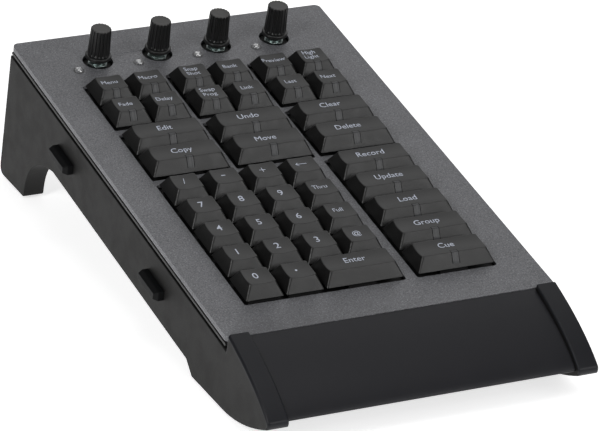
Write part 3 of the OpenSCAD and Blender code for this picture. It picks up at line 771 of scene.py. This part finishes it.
# Signs that are drawn with straight strokes: the ends of each one, and half its width
STROKES = {
    "key_back": ([((-2.7, 0), (2.6, 0)), ((-2.75, -0.1), (-1.5, 1.05)),
                  ((-2.75, 0.1), (-1.5, -1.05))], 0.17),
    "key_minus": ([((-1.0, 0.1), (1.0, 0.1))], 0.24),
    "key_plus": ([((-1.5, 0), (1.5, 0)), ((0, -1.5), (0, 1.5))], 0.16),
    "key_slash": ([((-0.45, -1.9), (0.55, 1.9))], 0.15),
}
DOT_R = 0.55           # the point's dot, and how far it lies under the middle
DOT_LOW = 0.6
DIGIT_SIZE = 5.5       # sizes of type: digits, two-unit caps, the at sign, other words
WIDE_SIZE = 4.7
SIGN_SIZE = 4.3
WORD_SIZE = 3.65
DIGIT_WEIGHT = 0.01    # how much the digits' strokes are thickened
TYPE_HEIGHT = 0.7      # height of a capital, as a share of the type's size
INK_HALF = 0.03        # half the thickness of the ink
INK_LIFT = 0.02        # its middle above the dish


def type_mesh(text, size, weight):
    """Points and faces of a word in plain type, about its middle, in millimetres."""
    curve = bpy.data.curves.new("type", "FONT")
    curve.body = text
    curve.size = size
    curve.offset = weight
    curve.align_x = "CENTER"
    curve.extrude = INK_HALF
    curve.resolution_u = 3
    curve.space_line = 0.98
    holder = bpy.data.objects.new("type", curve)
    bpy.context.scene.collection.objects.link(holder)
    whole = bpy.context.evaluated_depsgraph_get()
    mesh = bpy.data.meshes.new_from_object(holder.evaluated_get(whole))
    points = [v.co.copy() for v in mesh.vertices]
    faces = [tuple(p.vertices) for p in mesh.polygons]
    bpy.data.objects.remove(holder)
    bpy.data.curves.remove(curve)
    bpy.data.meshes.remove(mesh)
    return points, faces


def bar(p, q, half):
    """A straight stroke from p to q, as a thin prism."""
    way = (Vector(q) - Vector(p)).normalized()
    side = Vector((-way.y, way.x)) * half
    flat = [Vector(p) + side, Vector(p) - side, Vector(q) - side, Vector(q) + side]
    return loft([[(v.x, v.y, z) for v in flat] for z in (-INK_HALF, INK_HALF)], "face")


def dot():
    """The point's dot, as a thin disc."""
    around = [math.pi * i / 8 for i in range(16)]
    return loft([[(DOT_R * math.cos(a), DOT_R * math.sin(a) - DOT_LOW, z) for a in around]
                 for z in (-INK_HALF, INK_HALF)], "face")


def word(text, wide):
    """A legend in type; a single line is centred on its capitals, and two lines as a whole."""
    size, weight = WORD_SIZE, 0.0
    if text.isdigit():
        size, weight = DIGIT_SIZE, DIGIT_WEIGHT
    elif wide:
        size = WIDE_SIZE
    elif text == "@":
        size = SIGN_SIZE
    points, faces = type_mesh(text, size, weight)
    low, high = corners(points)
    middle = (low.y + high.y) / 2 if "\n" in text else size * TYPE_HEIGHT / 2
    shift = Vector(((low.x + high.x) / 2, middle, 0))
    return [p - shift for p in points], faces


def legend(shells, node, cap, at):
    """Prints a key's legend on its dish, a little behind the middle and to the left of it."""
    if node in STROKES:
        strokes, half = STROKES[node]
        parts = [bar(p, q, half) for p, q in strokes]
    elif node == "key_point":
        parts = [dot()]
    else:
        parts = [word(LEGENDS[node], cap.wide)]
    lift = 1.3 if cap.wide else 1.1
    aside = 1.1 if cap.wide else 0.65
    for points, faces in parts:
        placed = []
        for p in points:
            x, y = cap.mid[0] - aside + p.x, cap.mid[1] + lift + p.y
            placed.append(at + Vector((x, y, float(cap.top(x, y)) + INK_LIFT + p.z)))
        shells.add(placed, faces, INK)


SLIDER_X, SLIDER_Y = 3.3, 2.8              # half sizes of a slider
SLIDER_UP = 2.0                            # its top above the cap's skirt
STEM_X, STEM_Y = 2.0, 1.5                  # half sizes of the stem from slider to cap
STEM_LAP = 0.2                             # how far it goes into both


def make_key(node):
    """A keycap with its legend, its light pipe if it is lit, its stem and its slider."""
    low, high = deck_box(node)
    cap = Cap(high.x - low.x, high.y - low.y)
    at = Vector((low.x, low.y, high.z - CAP_H))
    shells = Shells()
    points, faces, finishes = cap.shell()
    shells.add([at + p for p in points], faces, finishes)
    if node not in UNLIT:
        # The seam round the pipe is a dark strip just above the cap: painted shade in the gap,
        # not a groove
        points, faces = cap.strip(SEAM_SECTION, PIPE_HALF + SEAM_SIDE, PIPE_LOW - SEAM_LOW,
                                  PIPE_TAB + SEAM_TAB)
        shells.add([at + p for p in points], faces, PAINTED_SEAM_SHADE)
        points, faces = cap.strip(PIPE_SECTION, PIPE_HALF, PIPE_LOW, PIPE_TAB)
        shells.add([at + p for p in points], faces, PIPE)
    legend(shells, node, cap, at)
    middle = at + Vector((cap.w / 2, cap.d / 2, 0))
    shells.add(*block((middle.x - SLIDER_X, middle.y - SLIDER_Y, low.z),
                      (middle.x + SLIDER_X, middle.y + SLIDER_Y, at.z + SLIDER_UP),
                      0.6, 0.3), SLIDER)
    shells.add(*block((middle.x - STEM_X, middle.y - STEM_Y, at.z + SLIDER_UP - STEM_LAP),
                      (middle.x + STEM_X, middle.y + STEM_Y,
                       at.z + CAP_H - CAP_ROOF + STEM_LAP),
                      0.3, 0.1), CAP_WALL)
    shells.piece(node + "_cap", node, "keycap_plastic", [node])


for key in KEYS:
    make_key(key)


# ---------------------------------------------------------------- knobs and indicators

KNOBS = [f"knob_{n}" for n in range(1, 5)]
FLUTES = 18
FLUTE_STEPS = 12       # faces across one flute and the ridge beside it
FLUTE_DEPTH = 0.5
FLUTE_HALF = 0.33      # half width of a flute, as a share of the way to the next
KNOB_H = 15.4
KNOB_DISC = 15.25      # height from which a knob is painted the lighter grey of the light falling on its top

# A knob from its skirt's inside up to its top: radius, height and share of the flutes' depth
KNOB_PROFILE = [
    (3.2, 1.4, 0), (4.9, 1.4, 0), (5.0, 0.15, 0), (5.15, 0.0, 0), (5.75, 0.0, 0),
    (6.0, 0.08, 0), (6.1, 0.3, 0), (6.1, 0.55, 0), (6.03, 0.68, 0), (6.03, 0.8, 0),
    (6.08, 0.92, 0), (6.02, 1.28, 0), (5.88, 1.5, 0), (5.6, 1.6, 0), (5.0, 1.64, 0),
    (4.9, 1.7, 0), (4.9, 1.88, 0), (5.05, 2.0, 0), (5.2, 2.2, 0.0), (5.19, 2.4, 0.35),
    (5.18, 2.65, 0.85), (5.16, 3.0, 1), (5.05, 6.5, 1), (4.93, 10.0, 1), (4.8, 13.7, 1),
    (4.78, 14.4, 1), (4.76, 14.7, 0.9), (4.74, 14.88, 0.8), (4.68, 15.1, 0.72),
    (4.58, 15.26, 0.62), (4.42, 15.36, 0.5), (4.2, 15.4, 0.35), (3.9, 15.4, 0.1),
    (3.6, 15.4, 0), (3.45, 15.36, 0), (3.3, 15.3, 0), (1.6, 15.3, 0), (0.4, 15.3, 0),
]


def flute(k, a):
    """Depth of the round-bottomed flutes at a place on the profile and an angle."""
    phase = (a * FLUTES / (2 * math.pi)) % 1
    bow = max(0.0, 1 - ((phase - 0.5) / FLUTE_HALF) ** 2)
    return FLUTE_DEPTH * KNOB_PROFILE[k][2] * math.sqrt(bow)


def spline(k, a):
    """Depth of the fine splines on the part of a shaft that is inside its knob."""
    return 0.16 * (math.cos(a * 20) > 0) if k in (2, 3) else 0


def make_knob(node):
    """A fluted knob with its skirt, and the splined shaft in it."""
    low, high = deck_box(node)
    middle = (low + high) / 2
    foot = high.z - KNOB_H
    shells = Shells()
    points, faces = lathe([(r, z) for r, z, _ in KNOB_PROFILE], (middle.x, middle.y, foot),
                          FLUTES * FLUTE_STEPS, flute)
    # Faces above KNOB_DISC get the lighter grey: painted light on the knob's top
    tops = [KNOB_TOP_PAINTED_LIGHT if min(points[i].z for i in face) > foot + KNOB_DISC else KNOB
            for face in faces]
    shells.add(points, faces, tops)
    shells.piece(node + "_cap", node, "knob_plastic", [node], 40)
    shaft = Shells()
    shaft.add(*lathe([(2.6, low.z), (2.95, low.z + 0.35), (2.95, foot + 1.3), (2.95, foot + 9.5),
                      (2.6, foot + 10.0), (0.6, foot + 10.0)],
                     (middle.x, middle.y, 0), 40, spline), NICKEL)
    shaft.piece(node + "_shaft", node)


for knob in KNOBS:
    make_knob(knob)


RING_R = 2.6           # radius of the ring round an indicator lens


def rib(k, a):
    """Depth of the grooves between the ribs of a lens."""
    return 0.05 * (math.cos(a * 12) > 0) if 3 < k < 8 else 0


def make_lenses():
    """An indicator lens beside each knob: a dark ring, a ribbed clear dome and its stem."""
    low, high = deck_box("led_lenses")
    knob_middles = [sum(deck_box(knob), Vector()) / 2 for knob in KNOBS]
    reach = knob_middles[0].x - (low.x + RING_R)
    y = (low.y + high.y) / 2
    shells = Shells()
    for middle in knob_middles:
        at = (middle.x - reach, y, 0)
        shells.add(*lathe([(2.1, -0.9), (2.1, 0.05), (2.2, 0.16), (2.35, 0.2), (2.5, 0.18),
                           (RING_R, 0.05), (RING_R, -0.02), (2.3, -0.02), (2.25, -1.0)], at,
                          40), BEZEL)
        shells.add(*lathe([(1.6, low.z), (2.0, low.z + 0.3), (2.02, -1.2), (2.12, 0.1),
                           (2.16, 0.35), (2.08, 0.62), (1.85, 0.9), (1.5, 1.13), (1.1, 1.28),
                           (0.65, 1.36), (0.25, 1.38)], at, 48, rib), LENS)
    shells.piece("indicator_lenses", "case", "lens_plastic", ["led_lenses"])


make_lenses()


# ---------------------------------------------------------------- case

RIM_EASE = 1.35        # easing of a cheek's outer edge, along its rim and elsewhere
SIDE_EASE = 0.45
RIM_EASE_IN = 0.9      # the same for its inner edge
SIDE_EASE_IN = 0.35
RIM_REACH = 1.5        # how far under the nose's tip the rim goes on
EASE_STEPS = 6         # faces across an eased edge
SHARPEST = 0.35        # keeps a mitre at a sharp corner from running away


def mitred(points, amounts):
    """Draws a closed outline inward by an amount at each point."""
    n = len(points)
    made = []
    for i, p in enumerate(points):
        before = (p - points[i - 1]).normalized()
        after = (points[(i + 1) % n] - p).normalized()
        a, b = Vector((-before.y, before.x)), Vector((-after.y, after.x))
        made.append(p + (a + b) / max(1 + a.dot(b), SHARPEST) * amounts[i])
    return made


def cheek_outline():
    """Outline of a cheek seen from the right, anticlockwise, as (Y, Z) on the deck."""
    work = cad_copy("right_cheek")
    edge = deck_box("right_cheek")[1].x
    side = max((f for f in work.faces
                if abs(f.normal.x) > 0.99 and abs(f.calc_center_median().x - edge) < 0.1),
               key=lambda f: f.calc_area())
    points = [Vector((v.co.y, v.co.z)) for v in side.verts]
    work.free()
    area = sum(p.x * q.y - q.x * p.y for p, q in zip(points, points[1:] + points[:1]))
    return points if area > 0 else points[::-1]


def ease_outline(points, gap=3.0):
    """Adds points along the long straights, so that the easing can change along them."""
    made = []
    for p, q in zip(points, points[1:] + points[:1]):
        count = max(1, int((q - p).length / gap))
        made += [p.lerp(q, i / count) for i in range(count)]
    return made


OUTLINE = ease_outline(cheek_outline())
TIP_Z = min(OUTLINE, key=lambda p: p.x).y


ON_RIM = [p.x < 0.05 and p.y > TIP_Z - RIM_REACH for p in OUTLINE]


def easing(on_rim, elsewhere):
    """Size of an eased edge at each point of the outline, with a gradual change between."""
    sizes = [on_rim if rim else elsewhere for rim in ON_RIM]
    for _ in range(2):
        sizes = [(sizes[i - 1] + sizes[i] * 2 + sizes[(i + 1) % len(sizes)]) / 4
                 for i in range(len(sizes))]
    return sizes


def make_cheek(side, name, node):
    """A cheek with eased edges; side is -1 for the left one and 1 for the right one."""
    low, high = deck_box("right_cheek")
    outer, inner = side * high.x, side * low.x
    rings = []
    for start, sizes, sign, turns in (
            (outer, easing(RIM_EASE, SIDE_EASE), -side, range(EASE_STEPS + 1)),
            (inner, easing(RIM_EASE_IN, SIDE_EASE_IN), side, range(EASE_STEPS, -1, -1))):
        for k in turns:
            a = math.radians(90 * k / EASE_STEPS)
            drawn = mitred(OUTLINE, [s * (1 - math.sin(a)) for s in sizes])
            rings.append([(start + sign * s * (1 - math.cos(a)), p.x, p.y)
                          for p, s in zip(drawn, sizes)])
    points, faces = loft(rings, "face")
    band = [RIM if rim and ON_RIM[(i + 1) % len(ON_RIM)] else CHEEK
            for i, rim in enumerate(ON_RIM)]
    finishes = band * (len(rings) - 1) + [CHEEK, CHEEK]
    Shells().add(points, faces, finishes).piece(name, "case", "cheek_plastic", [node])


make_cheek(-1, "left_cheek_moulding", "left_cheek")
make_cheek(1, "right_cheek_moulding", "right_cheek")


LONG = 100.0           # length from which an edge is one of the long ones
NEAR = 0.05            # distance within which a point lies on a face
FOLD_R = 0.7           # bend radius of the top panel
LIP_R = 1.1            # rounding of the nose's lower front edge
LIP_REACH = 0.8        # reach of the small rounding that it takes the place of
PANEL = deck_box("top_panel")
LIP = TO_DECK @ min([v.co for v in NODES["nose_panel"].data.vertices],
                    key=lambda p: 3 * p.y + p.z)


def outer_fold(edge):
    """Whether an edge is one of the panel's four long bends."""
    low, high = PANEL
    return edge.calc_length() > LONG and all(
        v.co.z > high.z - NEAR and (min(v.co.x - low.x, high.x - v.co.x) < NEAR
                                    or min(v.co.y - low.y, high.y - v.co.y) < NEAR)
        for v in edge.verts)


def nose_lip(edge):
    """Whether an edge is the nose's lower front one, which is well rounded."""
    return edge.calc_length() > LONG and all(
        math.hypot(v.co.y - LIP.y, v.co.z - LIP.z) < 2 * NEAR for v in edge.verts)


softened("top_panel", "top_panel_sheet", DECK_PAINT, 0.2, 2,
         folds=(outer_fold, FOLD_R))
softened("base_tray", "base_tray_sheet", TRAY_PAINT, 0.18, 2)
softened("nose_panel", "nose_panel_moulding", NOSE, 0.3, 3,
         folds=(nose_lip, LIP_R), gather=(LIP, LIP_REACH))
softened("docking_lugs", "docking_lug_mouldings", LUG, 0.16, 2, 20)
softened("rubber_feet", "rubber_foot_pads", FEET, 0.22, 2)
softened("rotary_encoders", "rotary_encoder_bodies", NICKEL, 0.16, 2)
softened("usb_socket", "data_socket_shell", TIN, 0.2, 2)

keep_node("switch_plate", PLATE_PAINT)
keep_node("circuit_board", BOARD)
keep_node("switch_housings", SWITCH)


TONGUE_X, TONGUE_Z = 2.8, 1.5              # half sizes of the socket's tongue
CONTACT_X, CONTACT_Z = 0.5, 0.12           # half sizes of a contact on it
CONTACT_APART = 2.5                        # from one contact to the next


def socket_tongue():
    """The tongue in the data socket's mouth, with two contacts on it and two under it."""
    low, high = deck_box("usb_socket")
    x, z = (low.x + high.x) / 2, (low.z + high.z) / 2
    shells = Shells()
    shells.add(*block((x - TONGUE_X, high.y - 9.2, z - TONGUE_Z),
                      (x + TONGUE_X, high.y - 0.9, z + TONGUE_Z), 0.5, 0.35), SWITCH)
    for column in (-0.5, 0.5):
        for row in (-1, 1):
            cx = x + column * CONTACT_APART
            cz = z + row * TONGUE_Z
            shells.add(*block((cx - CONTACT_X, high.y - 9.0, cz - CONTACT_Z),
                              (cx + CONTACT_X, high.y - 1.6, cz + CONTACT_Z), 0.1, 0.05), GOLD)
    shells.piece("data_socket_tongue", "case", "socket_metal")


socket_tongue()


# ---------------------------------------------------------------- screws and board parts

HEAD = 2.0             # height of a screw's head
SOCKET_FLAT = 0.95     # half the width across the flats of its socket

# A screw's head from its seat to the bottom of its socket: radius, height and whether the
# outline there is the socket's hexagon
HEAD_PROFILE = [
    (2.25, 0.0, 0), (2.3, -0.12, 0), (2.3, -1.0, 0), (2.1, -1.55, 0), (1.7, -1.88, 0),
    (1.3, -1.98, 0), (0, -1.95, 1), (0, -0.9, 1), (0.2, -0.8, 0),
]


def screw_shape(length, steps=24):
    """A round-headed screw with a hexagon socket, its head's seat at the origin."""
    stem = [(0.1, length, 0), (0.9, length, 0), (1.2, length - 0.4, 0), (1.2, 0.0, 0)]
    rings = []
    for radius, z, socket in stem + HEAD_PROFILE:
        ring = []
        for i in range(steps):
            a = 2 * math.pi * i / steps
            flat = SOCKET_FLAT / math.cos((a % (math.pi / 3)) - math.pi / 6)
            r = flat if socket else radius
            ring.append((r * math.cos(a), r * math.sin(a), z))
        rings.append(ring)
    return loft(rings)


def separate_boxes(node):
    """Box of each separate solid of a CAD node."""
    work = cad_copy(node)
    seen = set()
    boxes = []
    for start in work.verts:
        if start in seen:
            continue
        seen.add(start)
        stack, members = [start], []
        while stack:
            vert = stack.pop()
            members.append(vert.co.copy())
            for edge in vert.link_edges:
                other = edge.other_vert(vert)
                if other not in seen:
                    seen.add(other)
                    stack.append(other)
        boxes.append(corners(members))
    work.free()
    return boxes


def make_screws():
    """The screws up through the tray, and the ones that hold the cheeks from inside."""
    boxes = separate_boxes("case_screws")
    upright, sideways = [], []
    for low, high in boxes:
        size = high - low
        mid = (low + high) / 2
        if size.z > size.x:
            upright.append(((mid.x, mid.y, low.z + HEAD), (0, 0, 1), mid.y * 7.0))
        elif mid.x > 0:
            sideways.append(((low.x + HEAD, mid.y, mid.z), (1, 0, 0), mid.y * 5.0))
        else:
            sideways.append(((high.x - HEAD, mid.y, mid.z), (-1, 0, 0), mid.y * 5.0))
    long = max(high.z - low.z for low, high in boxes) - HEAD
    short = min(max(high.x - low.x, high.z - low.z) for low, high in boxes) - HEAD
    first = repeated("tray_screws", screw_shape(long), upright, STEEL)
    repeated("cheek_screws", screw_shape(short), sideways, STEEL)
    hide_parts("case_screws")


make_screws()


GROUP_APART = 38       # from one group of board parts to the next, both ways
GROUP_FRONT = 26       # the first row behind the board's front edge


def board_parts():
    """Groups of a chip, four resistors and a capacitor on the underside of the board."""
    low, _ = deck_box("circuit_board")
    down = (0, 0, -1)
    quarter = (0, math.pi / 2)
    dice = random.Random(7)
    chips, resistors, capacitors = [], [], []
    for row in range(5):
        for column in (-1, 0, 1):
            x = column * GROUP_APART + dice.uniform(-4, 4)
            y = low.y + GROUP_FRONT + row * GROUP_APART + dice.uniform(-3, 3)
            chips.append(((x, y, low.z), down, dice.choice(quarter)))
            for k in range(4):
                at = (x + 10 + 2.4 * (k % 2), y - 7 + 4.2 * k, low.z)
                resistors.append((at, down, dice.choice(quarter)))
            capacitors.append(((x - 12, y + 6, low.z), down, 0))
    chip = block((-5, -3.2, 0), (5, 3.2, 1.7), 0.3, 0.2)
    resistor = block((-1.0, -0.6, 0), (1.0, 0.6, 0.5), 0.1, 0.06)
    can = lathe([(2.9, 0), (3.15, 0.3), (3.15, 5.6), (3.0, 5.9), (2.6, 6.0), (2.4, 5.85),
                 (0.3, 5.85)], (0, 0, 0), 24)
    repeated("board_chips", chip, chips, CHIP)
    repeated("board_resistors", resistor, resistors, CHIP)
    repeated("board_capacitors", can, capacitors, TIN)


board_parts()


# ---------------------------------------------------------------- floor, light and camera

FLOOR_REACH = 9                            # half the floor's side, in metres
FLOOR_Z = -0.0002                          # just clear of the foot pads
LIT = Vector((0, 0, 0.05))                 # the place that the lights stand round


def make_floor():
    """One broad pale sheet that the desk stands on."""
    mesh = bpy.data.meshes.new("floor")
    square = [(-1, -1), (1, -1), (1, 1), (-1, 1)]
    mesh.from_pydata([(x * FLOOR_REACH, y * FLOOR_REACH, FLOOR_Z) for x, y in square], [],
                     [(0, 1, 2, 3)])
    finish = Finish("floor_sheet", Emission_Color=(1, 1, 1, 1), Emission_Strength=0.7)
    tone = finish.noise(0.6, 2)
    finish.set("Base Color", finish.mix(grey(240), grey(244), tone))
    finish.set("Roughness", 0.85)
    mesh.materials.append(finish.material)
    floor = bpy.data.objects.new("floor", mesh)
    bpy.context.scene.collection.objects.link(floor)


def soft_light(name, way, distance, width, height, power):
    """A soft box that stands in a direction from the desk and faces it, in metres and watts."""
    data = bpy.data.lights.new(name, "AREA")
    data.shape = "RECTANGLE"
    data.size = width
    data.size_y = height
    data.energy = power
    lamp = bpy.data.objects.new(name, data)
    lamp.location = LIT + Vector(way).normalized() * distance
    lamp.rotation_euler = Vector(way).to_track_quat("Z", "Y").to_euler()
    bpy.context.scene.collection.objects.link(lamp)


def make_light():
    """A faint white surround and four soft boxes."""
    world = bpy.data.worlds.new("studio")
    world.use_nodes = True
    back = world.node_tree.nodes["Background"]
    back.inputs["Color"].default_value = (1, 1, 1, 1)
    back.inputs["Strength"].default_value = 0.1
    bpy.context.scene.world = world
    soft_light("rear_box", (0.42, 0.62, 0.66), 1.5, 1.5, 1.1, 4.8)
    soft_light("front_box", (0.43, -0.76, 0.5), 1.5, 0.9, 0.7, 6.5)
    soft_light("side_box", (-0.74, -0.34, 0.59), 1.5, 0.35, 0.5, 7.5)
    soft_light("top_box", (0.1, -0.1, 1.0), 1.6, 0.9, 0.9, 5.0)


AIM = (CAD_BOX[0] + CAD_BOX[1]) / 2 + Vector((0.00485, -0.00617, -0.00692))
AZIMUTH = math.radians(-27.158)            # the camera stands in front and to the left
ELEVATION = math.radians(25.292)
ROLL = math.radians(3.698)
DISTANCE = 1.8975                          # from the aim, in metres
FOCAL = 256.24                             # on a frame 36 mm wide


def make_camera():
    """A long lens that looks down on the desk from its front left corner."""
    data = bpy.data.cameras.new("camera")
    data.lens = FOCAL
    data.sensor_width = 36
    data.clip_start = 0.05
    data.clip_end = 50
    camera = bpy.data.objects.new("camera", data)
    ahead = Vector((-math.sin(AZIMUTH) * math.cos(ELEVATION),
                    math.cos(AZIMUTH) * math.cos(ELEVATION), -math.sin(ELEVATION)))
    flat = Vector((math.cos(AZIMUTH), math.sin(AZIMUTH), 0))
    above = flat.cross(ahead)
    right = flat * math.cos(ROLL) + above * math.sin(ROLL)
    up = right.cross(ahead)
    turn = Matrix((right, up, -ahead)).transposed()
    camera.matrix_world = Matrix.Translation(AIM - ahead * DISTANCE) @ turn.to_4x4()
    bpy.context.scene.collection.objects.link(camera)
    bpy.context.scene.camera = camera


make_floor()
make_light()
make_camera()
bpy.context.scene.view_settings.view_transform = "Standard"
